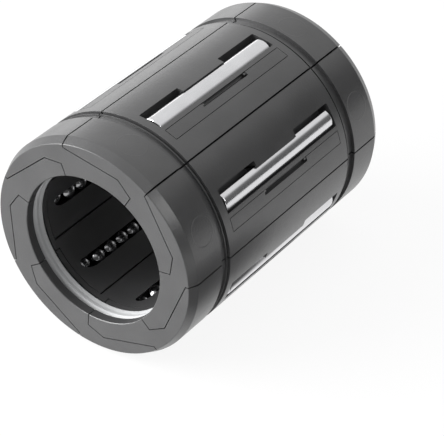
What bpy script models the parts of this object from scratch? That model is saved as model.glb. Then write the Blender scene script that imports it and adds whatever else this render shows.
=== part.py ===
# Linear ball bearing: seven interlocking cage segments stand in a ring round the shaft space.
# Each segment carries a raceway plate, a return channel lid and one closed circuit of balls.
# Units are metres and +Z is up. The shaft axis is Y, the front face looks along -Y, and the
# origin is the centre of the bore at mid-length. Angles run clockwise from +Z seen from the front.

from math import asin, atan2, ceil, cos, floor, hypot, pi, radians, sin, sqrt

import bmesh
import bpy
from mathutils import Matrix, Vector

MM = 0.001

# Driving dimensions of the whole bearing
CIRCUITS = 7
SHAFT_RADIUS = 30.0 * MM
WALL = 14.85 * MM
LENGTH = 125.0 * MM
FIRST_CIRCUIT_ANGLE = radians(10.3)

# Barrel and end faces
FACETS_PER_SEGMENT = 8
RIM_DROP = 1.7 * MM
RIM_LENGTH = 3.7 * MM
GROOVE_DEPTH = 1.5 * MM
GROOVE_WIDTH = 5.0 * MM
GROOVE_FROM_END = 18.2 * MM
FACE_HOLE_CLEARANCE = 1.0 * MM
FACE_HOLE_BEVEL = 0.6 * MM
CAGE_BORE_CLEARANCE = 0.8 * MM

# Interlock of the segments at each end
SEAM_GAP = 0.25 * MM
SEAM_STEP = 0.02 * MM
INTERLOCK_DEPTH = 12.4 * MM
SEAM_NOTCH = 3.0 * MM
HOOK_DEPTH = 6.45 * MM
HOOK_TO_TOE = radians(11.3)
TOE_ROOT = radians(4.93)
TOE_COVER = 1.15 * MM

# Shaft seals
SEAL_FROM_END = 4.0 * MM
SEAL_WIDTH = 5.8 * MM
SEAL_HEIGHT = 4.0 * MM
SEAL_LIP_CLEARANCE = 0.05 * MM
SEAL_LIP_HEIGHT = 1.3 * MM
SEAL_LIP_BACK = 1.2 * MM
SEAL_LIP_STEP = 2.6 * MM
SEAL_STEPS = 28

# Balls and their circuit
BALL_RADIUS = 3.572 * MM
BALLS_IN_TURN = 2
BALL_SPACING = 0.06 * MM
BALL_NECK_RADIUS = 0.7 * MM
SHOWN_BALL_SIDES = 6
SHOWN_BALL_BANDS = (-0.64, 0.0, 0.64)
HIDDEN_BALL_SIDES = 5
HIDDEN_BALL_BANDS = (-0.45, 0.45)
TURN_PLAY = 0.6 * MM
TURN_WALL = 0.687 * MM
CHANNEL_CLEARANCE = 0.24 * MM
CHANNEL_WEB = 0.738 * MM
CHANNEL_SIDES = 8
TURN_STEPS = 5
SLOT_HALF_WIDTH = 2.6 * MM
SLOT_LIP = 1.4 * MM

# Raceway plates
PLATE_FROM_TURN = 6.07 * MM
PLATE_WIDTH = 7.2 * MM
PLATE_PROUD = 0.15 * MM
PLATE_SHOULDER = 0.6 * MM
PLATE_BACK_STEPS = 8
TRACK_HALF_ANGLE = radians(40.0)
TRACK_STEPS = 4
PLATE_END_BEVEL = 0.7 * MM
PLATE_GAP = 0.3 * MM
PLATE_END_GAP = 0.8 * MM
TAB_LENGTH = 25.4 * MM
TAB_OVERHANG = 0.6 * MM
SIDE_POCKET_WIDTH = 2.0 * MM
SIDE_POCKET_DEPTH = 5.8 * MM

# Return channel lids
LID_FROM_TURN = 5.52 * MM
LID_RAIL = 1.743 * MM
LID_WIDTH = 5.1 * MM
LID_THICKNESS = 1.5 * MM
LID_NOTCH_LENGTH = 27.8 * MM
LID_NOTCH_WIDTH = 1.8 * MM
LID_NOTCH_STEP = 0.2 * MM
LID_SNAP_LENGTH = 1.3 * MM
LID_SNAP_WIDTH = 0.85 * MM
LID_SNAP_DROP = 0.35 * MM
LID_SNAP_INSET = 0.05 * MM
LID_RIB_WIDTH = 3.4 * MM
LID_RIB_DROP = 0.8 * MM
LID_GAP = 0.25 * MM
LID_BALL_CLEARANCE = 0.438 * MM

# Cutters run past what they cut by these
CUTTER_MARGIN = 4.0 * MM
OVERRUN = 1.0 * MM

# Values that follow from the ones above
PITCH_ANGLE = 2.0 * pi / CIRCUITS
FACET_ANGLE = PITCH_ANGLE / FACETS_PER_SEGMENT
HALF_LENGTH = LENGTH / 2.0
BARREL_RADIUS = SHAFT_RADIUS + WALL
OUTSIDE = BARREL_RADIUS + CUTTER_MARGIN
INSIDE = SHAFT_RADIUS - CUTTER_MARGIN
SEAM_ANGLE = -PITCH_ANGLE / 2.0
INTERLOCK_Y = HALF_LENGTH - INTERLOCK_DEPTH
CAGE_BORE_RADIUS = SHAFT_RADIUS + CAGE_BORE_CLEARANCE
FACE_HOLE_RADIUS = SHAFT_RADIUS + FACE_HOLE_CLEARANCE
SEAL_OUTER_RADIUS = SHAFT_RADIUS + SEAL_HEIGHT
SEAL_POCKET_RADIUS = SEAL_OUTER_RADIUS + SEAM_GAP
TOE_SWEEP = PITCH_ANGLE - TOE_ROOT
HOOK_SWEEP = TOE_SWEEP - HOOK_TO_TOE
HOOK_RADIUS = BARREL_RADIUS - HOOK_DEPTH
TOE_RADIUS = SEAL_POCKET_RADIUS + TOE_COVER
PLATE_TOP = BARREL_RADIUS + PLATE_PROUD
PLATE_HALF = PLATE_WIDTH / 2.0
PLATE_CROWN = PLATE_HALF + PLATE_SHOULDER
POCKET_HALF = PLATE_HALF + PLATE_GAP
LOADED_RADIUS = SHAFT_RADIUS + BALL_RADIUS
TRACK_HEIGHT = LOADED_RADIUS + BALL_RADIUS + PLATE_GAP
CHANNEL_RADIUS = BALL_RADIUS + CHANNEL_CLEARANCE
BALL_PITCH = 2.0 * BALL_RADIUS + BALL_SPACING

# The return row runs beside the plate's pocket and under the lid's rib
LID_FLOOR = BARREL_RADIUS - LID_THICKNESS
LID_RIB_FLOOR = LID_FLOOR - LID_RIB_DROP
LID_ANGLE = asin((POCKET_HALF + LID_RAIL + LID_GAP + LID_WIDTH / 2.0) / BARREL_RADIUS)
RETURN_RADIUS = LID_RIB_FLOOR - LID_BALL_CLEARANCE - BALL_RADIUS
RETURN_SHIFT = POCKET_HALF + CHANNEL_WEB + CHANNEL_RADIUS
RETURN_HEIGHT = sqrt(RETURN_RADIUS ** 2 - RETURN_SHIFT ** 2)
RETURN_RISE = RETURN_HEIGHT - LOADED_RADIUS

# The turns lie just behind the interlock, and the plates, lids and rows end short of them
TURN_RADIUS = hypot(RETURN_SHIFT, RETURN_RISE) / 2.0
TURN_Y = INTERLOCK_Y - TURN_WALL - CHANNEL_RADIUS - TURN_RADIUS
TURN_HALF_CHORD = (BALLS_IN_TURN - 1) * BALL_PITCH / 2.0
TURN_REACH = sqrt(TURN_RADIUS ** 2 - TURN_HALF_CHORD ** 2)
ROW_ROOM = 2.0 * (TURN_Y + TURN_REACH - BALL_PITCH - TURN_PLAY)
BALLS_IN_ROW = floor(ROW_ROOM / BALL_PITCH) + 1
PLATE_LENGTH = 2.0 * (TURN_Y - PLATE_FROM_TURN)
WINDOW_HALF = PLATE_LENGTH / 2.0 + PLATE_END_GAP
LID_LENGTH = 2.0 * (TURN_Y - LID_FROM_TURN)


def clear_scene():
    for item in list(bpy.data.objects):
        bpy.data.objects.remove(item, do_unlink=True)


def make_material(name, colour, roughness, metallic):
    material = bpy.data.materials.new(name)
    material.use_nodes = True
    shader = material.node_tree.nodes["Principled BSDF"]
    shader.inputs["Base Color"].default_value = (*colour, 1.0)
    shader.inputs["Roughness"].default_value = roughness
    shader.inputs["Metallic"].default_value = metallic
    material.diffuse_color = (*colour, 1.0)
    return material


def polar(angle, radius):
    """Cross-section point (x, z) at a clockwise angle from +Z."""
    return Vector((radius * sin(angle), radius * cos(angle)))


def mesh_from(bm, name):
    bmesh.ops.remove_doubles(bm, verts=bm.verts, dist=1e-7)
    bmesh.ops.recalc_face_normals(bm, faces=bm.faces)
    mesh = bpy.data.meshes.new(name)
    bm.to_mesh(mesh)
    bm.free()
    return mesh


def add_object(name, mesh):
    item = bpy.data.objects.new(name, mesh)
    bpy.context.collection.objects.link(item)
    return item


def prism(outline, y_low, y_high):
    """Solid with a cross-section outline of (x, z) points, extruded along Y."""
    bm = bmesh.new()
    face = bm.faces.new([bm.verts.new((x, y_low, z)) for x, z in outline])
    grown = bmesh.ops.extrude_face_region(bm, geom=[face])["geom"]
    raised = [part for part in grown if isinstance(part, bmesh.types.BMVert)]
    bmesh.ops.translate(bm, verts=raised, vec=(0.0, y_high - y_low, 0.0))
    return add_object("prism", mesh_from(bm, "prism"))


def turned(profile, steps, start_angle, closed=True):
    """Solid of revolution about Y from (y, radius) points."""
    bm = bmesh.new()
    verts = [bm.verts.new((r * sin(start_angle), y, r * cos(start_angle))) for y, r in profile]
    edges = [bm.edges.new(pair) for pair in zip(verts, verts[1:])]
    if closed:
        edges.append(bm.edges.new((verts[-1], verts[0])))
    bmesh.ops.spin(bm, geom=verts + edges, cent=(0, 0, 0), axis=(0, 1, 0), angle=2.0 * pi,
                   steps=steps, use_merge=True)
    return mesh_from(bm, "turned")


def boolean(target, other, operation):
    """Replace the target's mesh by its EXACT boolean with the other object, which is used up."""
    modifier = target.modifiers.new("cut", "BOOLEAN")
    modifier.operation = operation
    modifier.solver = "EXACT"
    modifier.object = other
    result = bpy.data.meshes.new_from_object(target.evaluated_get(bpy.context.evaluated_depsgraph_get()))
    target.modifiers.clear()
    target.data = result
    bpy.data.objects.remove(other, do_unlink=True)


def tidy_mesh(item):
    """Merge stray points and dissolve the flat seams that the cuts leave."""
    bm = bmesh.new()
    bm.from_mesh(item.data)
    bmesh.ops.remove_doubles(bm, verts=bm.verts, dist=1e-6)
    bmesh.ops.dissolve_limit(bm, angle_limit=radians(0.05), verts=bm.verts, edges=bm.edges)
    bmesh.ops.triangulate(bm, faces=bm.faces)
    bm.to_mesh(item.data)
    bm.free()


def shade(item, material, sharp_degrees=30.0):
    item.data.materials.clear()
    item.data.materials.append(material)
    item.data.shade_smooth()
    item.data.set_sharp_from_angle(angle=radians(sharp_degrees))


def parallel_path(points, distance):
    """Offset a polyline to its left by a distance, with mitred corners."""
    normals = []
    for first, second in zip(points, points[1:]):
        along = (second - first).normalized()
        normals.append(Vector((-along.y, along.x)))
    offset = []
    for index, point in enumerate(points):
        before = normals[max(index - 1, 0)]
        after = normals[min(index, len(normals) - 1)]
        mitre = (before + after).normalized()
        offset.append(point + mitre * (distance / mitre.dot(after)))
    return offset


def arc(radius, start, end, steps):
    return [polar(start + (end - start) * step / steps, radius) for step in range(steps + 1)]


def pinwheel_seam(angle, side):
    """Seam at the ends, set back half a gap: a notch at the rim, a long chord, a step to the hole."""
    return parallel_path([
        polar(angle, OUTSIDE),
        polar(angle, BARREL_RADIUS - SEAM_NOTCH),
        polar(angle + HOOK_SWEEP, HOOK_RADIUS),
        polar(angle + TOE_SWEEP, TOE_RADIUS),
        polar(angle + TOE_SWEEP, INSIDE),
    ], side * SEAM_GAP / 2.0)


def radial_seam(angle, side):
    """Straight seam between the ends, a hair further back than the blades' edges."""
    return parallel_path([polar(angle, OUTSIDE), polar(angle, INSIDE)], side * (SEAM_GAP / 2.0 + SEAM_STEP))


def sector_outline(left, right):
    """Closed cross-section between a left and a right seam."""
    steps = FACETS_PER_SEGMENT // 2
    outer = arc(OUTSIDE, SEAM_ANGLE, -SEAM_ANGLE, steps)[1:-1]
    hole_start = atan2(right[-1].x, right[-1].y)
    hole_end = atan2(left[-1].x, left[-1].y)
    inner = arc(INSIDE, hole_start, hole_end, steps)[1:-1]
    return [left[0], *outer, *right, *inner, *reversed(left[1:])]


def barrel_profile():
    """Half section of the seven segments as one ring, as (y, radius) points."""
    groove_outer = HALF_LENGTH - GROOVE_FROM_END
    groove_inner = groove_outer - GROOVE_WIDTH
    groove_floor = BARREL_RADIUS - GROOVE_DEPTH
    pocket_outer = HALF_LENGTH - SEAL_FROM_END + SEAM_GAP
    pocket_inner = HALF_LENGTH - SEAL_FROM_END - SEAL_WIDTH - SEAM_GAP
    half = [
        (groove_inner, BARREL_RADIUS),
        (groove_inner, groove_floor),
        (groove_outer, groove_floor),
        (groove_outer, BARREL_RADIUS),
        (HALF_LENGTH - RIM_LENGTH, BARREL_RADIUS),
        (HALF_LENGTH, BARREL_RADIUS - RIM_DROP),
        (HALF_LENGTH, FACE_HOLE_RADIUS + FACE_HOLE_BEVEL),
        (HALF_LENGTH - FACE_HOLE_BEVEL, FACE_HOLE_RADIUS),
        (pocket_outer, FACE_HOLE_RADIUS),
        (pocket_outer, SEAL_POCKET_RADIUS),
        (pocket_inner, SEAL_POCKET_RADIUS),
        (pocket_inner, CAGE_BORE_RADIUS),
    ]
    mirrored = [(-y, radius) for y, radius in reversed(half)]
    return half + mirrored


def segment_blank():
    """One segment without its windows and channels: a sector with a pinwheel blade at each end."""
    straight = sector_outline(radial_seam(SEAM_ANGLE, 1), radial_seam(-SEAM_ANGLE, -1))
    root = sector_outline(pinwheel_seam(SEAM_ANGLE, 1), radial_seam(-SEAM_ANGLE, -1))
    blade = sector_outline(pinwheel_seam(SEAM_ANGLE, 1), pinwheel_seam(-SEAM_ANGLE, -1))
    blank = prism(straight, -INTERLOCK_Y, INTERLOCK_Y)
    for side in (-1, 1):
        root_ends = sorted((side * (INTERLOCK_Y - OVERRUN), side * (INTERLOCK_Y + OVERRUN)))
        boolean(blank, prism(root, *root_ends), "UNION")
        blade_ends = sorted((side * (INTERLOCK_Y + SEAM_GAP), side * (HALF_LENGTH + OVERRUN)))
        boolean(blank, prism(blade, *blade_ends), "UNION")
    steps = CIRCUITS * FACETS_PER_SEGMENT
    ring = add_object("ring", turned(barrel_profile(), steps, SEAM_ANGLE))
    boolean(ring, blank, "INTERSECT")
    return ring


def plate_pocket():
    """Cutters for the window over the plate, with the tab left over its shoulder mid-length."""
    low = LOADED_RADIUS
    tab_half = TAB_LENGTH / 2.0
    lip_low = shoulder_height() + PLATE_GAP
    side = POCKET_HALF + SIDE_POCKET_WIDTH
    tab_edge = PLATE_HALF - TAB_OVERHANG
    middle = [
        (POCKET_HALF, low), (POCKET_HALF, OUTSIDE), (-tab_edge, OUTSIDE),
        (-tab_edge, lip_low + TAB_OVERHANG), (-POCKET_HALF, lip_low), (-POCKET_HALF, low),
    ]
    floor_height = BARREL_RADIUS - SIDE_POCKET_DEPTH
    end = [
        (POCKET_HALF, low), (POCKET_HALF, OUTSIDE), (-side, OUTSIDE),
        (-side, floor_height), (-POCKET_HALF, floor_height), (-POCKET_HALF, low),
    ]
    return [
        prism(middle, -tab_half - OVERRUN, tab_half + OVERRUN),
        prism(end, -WINDOW_HALF, -tab_half),
        prism(end, tab_half, WINDOW_HALF),
    ]


def loaded_slot():
    """Cutter for the loaded row: lips at the bore narrower than a ball, then a ball's width."""
    lip_top = CAGE_BORE_RADIUS + SLOT_LIP
    outline = [
        (SLOT_HALF_WIDTH, INSIDE), (SLOT_HALF_WIDTH, CAGE_BORE_RADIUS), (CHANNEL_RADIUS, lip_top),
        (CHANNEL_RADIUS, TRACK_HEIGHT), (-CHANNEL_RADIUS, TRACK_HEIGHT), (-CHANNEL_RADIUS, lip_top),
        (-SLOT_HALF_WIDTH, CAGE_BORE_RADIUS), (-SLOT_HALF_WIDTH, INSIDE),
    ]
    return prism(outline, -TURN_Y - PLATE_GAP, TURN_Y + PLATE_GAP)


def channel_ring():
    """Corners of the channel's section, larger on the outer side, where the turns' flats cut in."""
    outer_flat = (TURN_RADIUS + CHANNEL_RADIUS) / cos(pi / (2 * TURN_STEPS)) - TURN_RADIUS
    corners = []
    for step in range(CHANNEL_SIDES):
        angle = 2.0 * pi * (step + 0.5) / CHANNEL_SIDES
        flat = CHANNEL_RADIUS if sin(angle) > 0.0 else outer_flat
        corners.append(polar(angle, flat / cos(pi / CHANNEL_SIDES)))
    return corners


def turn_centre(side):
    return Vector((RETURN_SHIFT / 2.0, side * TURN_Y, LOADED_RADIUS + RETURN_RISE / 2.0))


def turn_axes():
    """Unit vector from the loaded row to the return row, and the turn's rotation axis."""
    across = Vector((RETURN_SHIFT, 0.0, RETURN_RISE)).normalized()
    return across, Vector((0.0, 1.0, 0.0)).cross(across)


def return_channel():
    """Cutter for the way back: a half circle, the straight return under the lid, a half circle."""
    across, axis = turn_axes()
    front, rear = turn_centre(-1), turn_centre(1)
    start = front - across * TURN_RADIUS
    bm = bmesh.new()
    ring = [bm.verts.new(start + across * point.x + axis * point.y) for point in channel_ring()]
    section = [bm.faces.new(ring)]
    turned_part = bmesh.ops.spin(bm, geom=section, cent=front, axis=axis, angle=-pi, steps=TURN_STEPS)
    section = [part for part in turned_part["geom_last"] if isinstance(part, bmesh.types.BMFace)]
    straight = bmesh.ops.extrude_face_region(bm, geom=section)["geom"]
    bmesh.ops.delete(bm, geom=section, context="FACES_ONLY")
    section = [part for part in straight if isinstance(part, bmesh.types.BMFace)]
    bmesh.ops.translate(bm, verts=section[0].verts, vec=rear - front)
    bmesh.ops.spin(bm, geom=section, cent=rear, axis=axis, angle=-pi, steps=TURN_STEPS)
    bmesh.ops.delete(bm, geom=section, context="FACES_ONLY")
    return add_object("channel", mesh_from(bm, "channel"))


def facet_point(angle, radius):
    """Point at an angle on the flat facets of the barrel, for a given corner radius."""
    middle = (floor((angle - SEAM_ANGLE) / FACET_ANGLE) + 0.5) * FACET_ANGLE + SEAM_ANGLE
    return polar(angle, radius * cos(FACET_ANGLE / 2.0) / cos(angle - middle))


def lid_point(across, height):
    """Cross-section point in the lid's own frame, which is turned round the barrel."""
    right = polar(LID_ANGLE + pi / 2.0, across)
    return right + polar(LID_ANGLE, height)


def lid_box(left, right, low, high, y_low, y_high):
    """Box in the lid's own frame, between two ends along the bearing."""
    corners = ((left, low), (left, high), (right, high), (right, low))
    return prism([lid_point(*corner) for corner in corners], y_low, y_high)


def lid_recess():
    """Cutters for the lid: a shallow seat in the barrel and the slot down to the channel."""
    seat_half = LID_WIDTH / 2.0 + LID_GAP
    slot_half = LID_RIB_WIDTH / 2.0 + LID_GAP
    seat_end = LID_LENGTH / 2.0 + LID_GAP
    slot_end = seat_end - LID_THICKNESS
    return [
        lid_box(-seat_half, seat_half, LID_FLOOR - LID_GAP, OUTSIDE, -seat_end, seat_end),
        lid_box(-slot_half, slot_half, RETURN_RADIUS, BARREL_RADIUS, -slot_end, slot_end),
    ]


def build_segment():
    segment = segment_blank()
    for cutter in [*plate_pocket(), loaded_slot(), return_channel(), *lid_recess()]:
        boolean(segment, cutter, "DIFFERENCE")
    tidy_mesh(segment)
    return segment


def shoulder_height():
    """Height of the plate's crowned back where its sides begin."""
    return PLATE_TOP - PLATE_CROWN + sqrt(PLATE_CROWN ** 2 - PLATE_HALF ** 2)


def build_plate():
    """Steel bar with a round back and a hollow ball track along its underside."""
    half_angle = asin(PLATE_HALF / PLATE_CROWN)
    crown_centre = Vector((0.0, PLATE_TOP - PLATE_CROWN))
    back = arc(PLATE_CROWN, -half_angle, half_angle, PLATE_BACK_STEPS)
    outline = [crown_centre + point for point in back]
    track_radius = BALL_RADIUS + PLATE_GAP
    track_centre = Vector((0.0, LOADED_RADIUS))
    track = arc(track_radius, TRACK_HALF_ANGLE, -TRACK_HALF_ANGLE, TRACK_STEPS)
    land_height = LOADED_RADIUS + track_radius * cos(TRACK_HALF_ANGLE)
    outline += [(PLATE_HALF, land_height)]
    outline += [track_centre + point for point in track]
    outline += [(-PLATE_HALF, land_height)]
    plate = prism(outline, -PLATE_LENGTH / 2.0, PLATE_LENGTH / 2.0)
    bm = bmesh.new()
    bm.from_mesh(plate.data)
    ends = [edge for edge in bm.edges
            if abs(edge.verts[0].co.y - edge.verts[1].co.y) < 1e-6
            and min(vert.co.z for vert in edge.verts) > shoulder_height() - 1e-6]
    bmesh.ops.bevel(bm, geom=ends, offset=PLATE_END_BEVEL, affect="EDGES", segments=1,
                    profile=0.5, material=-1)
    bmesh.ops.recalc_face_normals(bm, faces=bm.faces)
    bm.to_mesh(plate.data)
    bm.free()
    return plate


def build_lid():
    """Strip that closes the return channel: a thin flange over a rib, notched beside the plate.

    The notch stops at the rib, and a snap tab stands at each end of it.
    """
    half = LID_WIDTH / 2.0
    rib_half = LID_RIB_WIDTH / 2.0
    spread = asin(half / BARREL_RADIUS)
    first = ceil((LID_ANGLE - spread - SEAM_ANGLE) / FACET_ANGLE)
    corner = SEAM_ANGLE + first * FACET_ANGLE
    top = [facet_point(angle, BARREL_RADIUS) for angle in (LID_ANGLE - spread, corner, LID_ANGLE + spread)]
    flange = [lid_point(-half, LID_FLOOR), *top, lid_point(half, LID_FLOOR)]
    lid = prism(flange, -LID_LENGTH / 2.0, LID_LENGTH / 2.0)
    rib_end = LID_LENGTH / 2.0 - LID_THICKNESS
    rib = lid_box(-rib_half, rib_half, LID_RIB_FLOOR, LID_FLOOR + LID_GAP, -rib_end, rib_end)
    boolean(lid, rib, "UNION")
    notch_end = LID_NOTCH_LENGTH / 2.0
    notch_low = LID_FLOOR - LID_NOTCH_STEP
    notch = lid_box(-half - OVERRUN, -half + LID_NOTCH_WIDTH, notch_low, OUTSIDE, -notch_end, notch_end)
    boolean(lid, notch, "DIFFERENCE")
    snap_left = -half + LID_SNAP_INSET
    snap_low, snap_high = LID_FLOOR + LID_NOTCH_STEP, BARREL_RADIUS - LID_SNAP_DROP
    for side in (-1, 1):
        ends = sorted((side * (notch_end + LID_SNAP_INSET), side * (notch_end - LID_SNAP_LENGTH)))
        snap = lid_box(snap_left, snap_left + LID_SNAP_WIDTH, snap_low, snap_high, *ends)
        boolean(lid, snap, "UNION")
    tidy_mesh(lid)
    return lid


def seal_profile():
    """Section of the front seal as (y, radius) points: a body in its pocket, a lip and a dust lip."""
    front = -HALF_LENGTH + SEAL_FROM_END
    back = front + SEAL_WIDTH
    lip = SHAFT_RADIUS + SEAL_LIP_CLEARANCE
    lip_y = back - SEAL_LIP_BACK
    return [
        (front, SEAL_OUTER_RADIUS),
        (back, SEAL_OUTER_RADIUS),
        (back, lip + SEAL_LIP_HEIGHT),
        (lip_y, lip),
        (lip_y - SEAL_LIP_STEP / 2.0, lip + SEAL_LIP_HEIGHT / 2.0),
        (lip_y - SEAL_LIP_STEP, lip + SEAL_LIP_HEIGHT / 2.0),
        (front, lip + 2.0 * SEAL_LIP_HEIGHT),
    ]


def ball_chain(count, name, sides, bands):
    """Balls in line along Y, touching through a small neck, so that they move as one row."""
    start = -(count - 1) * BALL_PITCH / 2.0
    profile = [(start - BALL_RADIUS, 0.0)]
    for index in range(count):
        centre = start + index * BALL_PITCH
        profile += [(centre + band * BALL_RADIUS, BALL_RADIUS * sqrt(1.0 - band ** 2)) for band in bands]
        if index < count - 1:
            profile.append((centre + BALL_PITCH / 2.0, BALL_NECK_RADIUS))
    profile.append((-start + BALL_RADIUS, 0.0))
    mesh = turned(profile, sides, 0.0, closed=False)
    mesh.name = name
    return mesh


def turn_pair(side):
    """The balls of one turn, on the chord of the half circle, about the turn's own axis."""
    mesh = ball_chain(BALLS_IN_TURN, "turn_balls", HIDDEN_BALL_SIDES, HIDDEN_BALL_BANDS)
    across, axis = turn_axes()
    outward = Vector((0.0, side, 0.0))
    frame = Matrix((axis, across, outward)).transposed().to_4x4()
    if frame.determinant() < 0.0:
        frame = Matrix((-axis, across, outward)).transposed().to_4x4()
    mesh.transform(Matrix.Translation(outward * TURN_REACH) @ frame)
    return mesh


def place(name, mesh, parent, location, material):
    item = add_object(name, mesh)
    item.parent = parent
    item.location = location
    shade(item, material)
    return item


def build_bearing():
    clear_scene()
    plastic = make_material("cage_plastic", (0.075, 0.075, 0.08), 0.5, 0.0)
    lid_plastic = make_material("lid_plastic", (0.065, 0.065, 0.07), 0.45, 0.0)
    steel = make_material("plate_steel", (0.72, 0.72, 0.72), 0.25, 1.0)
    ball_steel = make_material("ball_steel", (0.8, 0.8, 0.82), 0.1, 1.0)
    rubber = make_material("seal_rubber", (0.45, 0.46, 0.47), 0.6, 0.0)

    masters = {"cage_segment": build_segment(), "raceway_plate": build_plate(), "return_lid": build_lid()}
    finishes = {"cage_segment": plastic, "raceway_plate": steel, "return_lid": lid_plastic}
    meshes = {name: master.data for name, master in masters.items()}
    for master in masters.values():
        bpy.data.objects.remove(master, do_unlink=True)
    loaded_row = ball_chain(BALLS_IN_ROW, "loaded_row", SHOWN_BALL_SIDES, SHOWN_BALL_BANDS)
    return_row = ball_chain(BALLS_IN_ROW, "return_row", HIDDEN_BALL_SIDES, HIDDEN_BALL_BANDS)
    turns = {"front": (turn_pair(-1), turn_centre(-1)), "rear": (turn_pair(1), turn_centre(1))}
    return_place = (RETURN_SHIFT, 0.0, RETURN_HEIGHT)

    for index in range(CIRCUITS):
        number = index + 1
        circuit = bpy.data.objects.new(f"circuit_{number}", None)
        bpy.context.collection.objects.link(circuit)
        circuit.rotation_euler = (0.0, FIRST_CIRCUIT_ANGLE + index * PITCH_ANGLE, 0.0)
        for name, mesh in meshes.items():
            place(f"{name}_{number}", mesh, circuit, (0.0, 0.0, 0.0), finishes[name])
        place(f"loaded_balls_{number}", loaded_row, circuit, (0.0, 0.0, LOADED_RADIUS), ball_steel)
        place(f"return_balls_{number}", return_row, circuit, return_place, ball_steel)
        for end, (mesh, centre) in turns.items():
            place(f"{end}_turn_balls_{number}", mesh, circuit, centre, ball_steel)

    profile = seal_profile()
    rear_profile = [(-y, radius) for y, radius in profile]
    place("front_seal", turned(profile, SEAL_STEPS, 0.0), None, (0.0, 0.0, 0.0), rubber)
    place("rear_seal", turned(rear_profile, SEAL_STEPS, 0.0), None, (0.0, 0.0, 0.0), rubber)


build_bearing()
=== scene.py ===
from math import asin, atan2, ceil, cos, degrees, hypot, pi, radians, sin, sqrt

import bmesh
import bpy
from mathutils import Matrix, Vector


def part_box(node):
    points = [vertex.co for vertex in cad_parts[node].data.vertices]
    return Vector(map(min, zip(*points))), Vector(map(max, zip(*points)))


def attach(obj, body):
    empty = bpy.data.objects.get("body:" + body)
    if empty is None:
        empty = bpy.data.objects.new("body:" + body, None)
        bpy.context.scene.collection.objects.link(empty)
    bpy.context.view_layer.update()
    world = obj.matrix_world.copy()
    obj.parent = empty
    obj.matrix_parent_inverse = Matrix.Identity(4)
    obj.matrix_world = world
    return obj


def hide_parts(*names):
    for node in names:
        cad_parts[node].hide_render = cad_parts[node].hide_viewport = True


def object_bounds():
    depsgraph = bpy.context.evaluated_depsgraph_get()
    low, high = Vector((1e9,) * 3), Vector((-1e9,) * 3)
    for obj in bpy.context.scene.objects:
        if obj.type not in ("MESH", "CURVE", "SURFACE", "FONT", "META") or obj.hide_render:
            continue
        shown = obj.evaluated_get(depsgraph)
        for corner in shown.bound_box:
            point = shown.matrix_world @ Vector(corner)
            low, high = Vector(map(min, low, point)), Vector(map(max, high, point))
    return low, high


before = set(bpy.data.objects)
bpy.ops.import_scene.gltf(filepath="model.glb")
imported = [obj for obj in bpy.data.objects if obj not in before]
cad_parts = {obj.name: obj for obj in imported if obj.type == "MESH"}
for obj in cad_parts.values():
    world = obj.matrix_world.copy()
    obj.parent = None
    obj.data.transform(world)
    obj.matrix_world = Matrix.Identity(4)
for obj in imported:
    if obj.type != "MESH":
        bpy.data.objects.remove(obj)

# Finish, light and camera of a linear ball bearing that lies on its side, shaft axis along Y.
# Angles run clockwise from +Z, seen from the front face, which looks along -Y.
cadLow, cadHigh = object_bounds()
mm = 0.001

# Sizes shared by all the pieces
bearing = {
    "circuits": sum(name.startswith("cage_segment_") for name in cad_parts),
    "firstAngle": radians(10.3),          # the top circuit leans a little clockwise
    "halfLength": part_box("cage_segment_1")[1].y,
    "barrelRadius": 44.85 * mm,
    "shaftRadius": 30.0 * mm,
    "facetDegrees": 1.0,                  # fine steps of everything turned round the shaft axis
    "cutReach": 4.0 * mm,                 # seams and windows are drawn this far past the wall
}
pitchAngle = 2.0 * pi / bearing["circuits"]
seamAngle = -pitchAngle / 2.0
halfLength = bearing["halfLength"]
barrel = bearing["barrelRadius"]
outside = barrel + bearing["cutReach"]
inside = bearing["shaftRadius"] - bearing["cutReach"]
overrun = 1.0 * mm                        # how far a joined or cutting shape runs into the next one

# How every shape is merged, shaded and rounded
shaping = {
    "touch": 0.0001 * mm,                 # places closer than this are the same
    "shadedSharp": radians(30.0),
    "strayPoint": 0.02 * mm,              # the cuts leave points this close together
    "strayEdge": 0.01 * mm,
    "sameFlat": radians(0.2),
    "crease": radians(35.0),              # sharper edges stay sharp where the edges are eased
    "roundSteps": 4,
}


# Small helpers

def polar(angle, radius):
    return Vector((radius * sin(angle), radius * cos(angle)))


def newPiece(name, bm):
    bmesh.ops.remove_doubles(bm, verts=bm.verts, dist=shaping["touch"])
    bmesh.ops.recalc_face_normals(bm, faces=bm.faces)
    mesh = bpy.data.meshes.new(name)
    bm.to_mesh(mesh)
    bm.free()
    mesh.shade_smooth()
    mesh.set_sharp_from_angle(angle=shaping["shadedSharp"])
    piece = bpy.data.objects.new(name, mesh)
    bpy.context.scene.collection.objects.link(piece)
    return piece


def drawnOut(outline, yLow, yHigh):
    # an outline across the shaft axis, drawn out along it
    bm = bmesh.new()
    face = bm.faces.new([bm.verts.new((x, yLow, z)) for x, z in outline])
    grown = bmesh.ops.extrude_face_region(bm, geom=[face])["geom"]
    raised = [part for part in grown if isinstance(part, bmesh.types.BMVert)]
    bmesh.ops.translate(bm, verts=raised, vec=(0.0, yHigh - yLow, 0.0))
    bmesh.ops.recalc_face_normals(bm, faces=bm.faces)
    return bm


def edgesAtEnds(bm):
    return [e for e in bm.edges if abs(e.verts[0].co.y - e.verts[1].co.y) < shaping["touch"]]


def roundOff(bm, parts, width, steps, affect="EDGES", clamp=False):
    return bmesh.ops.bevel(bm, geom=parts, offset=width, affect=affect, segments=steps, profile=0.5,
                           clamp_overlap=clamp, material=-1)


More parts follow.
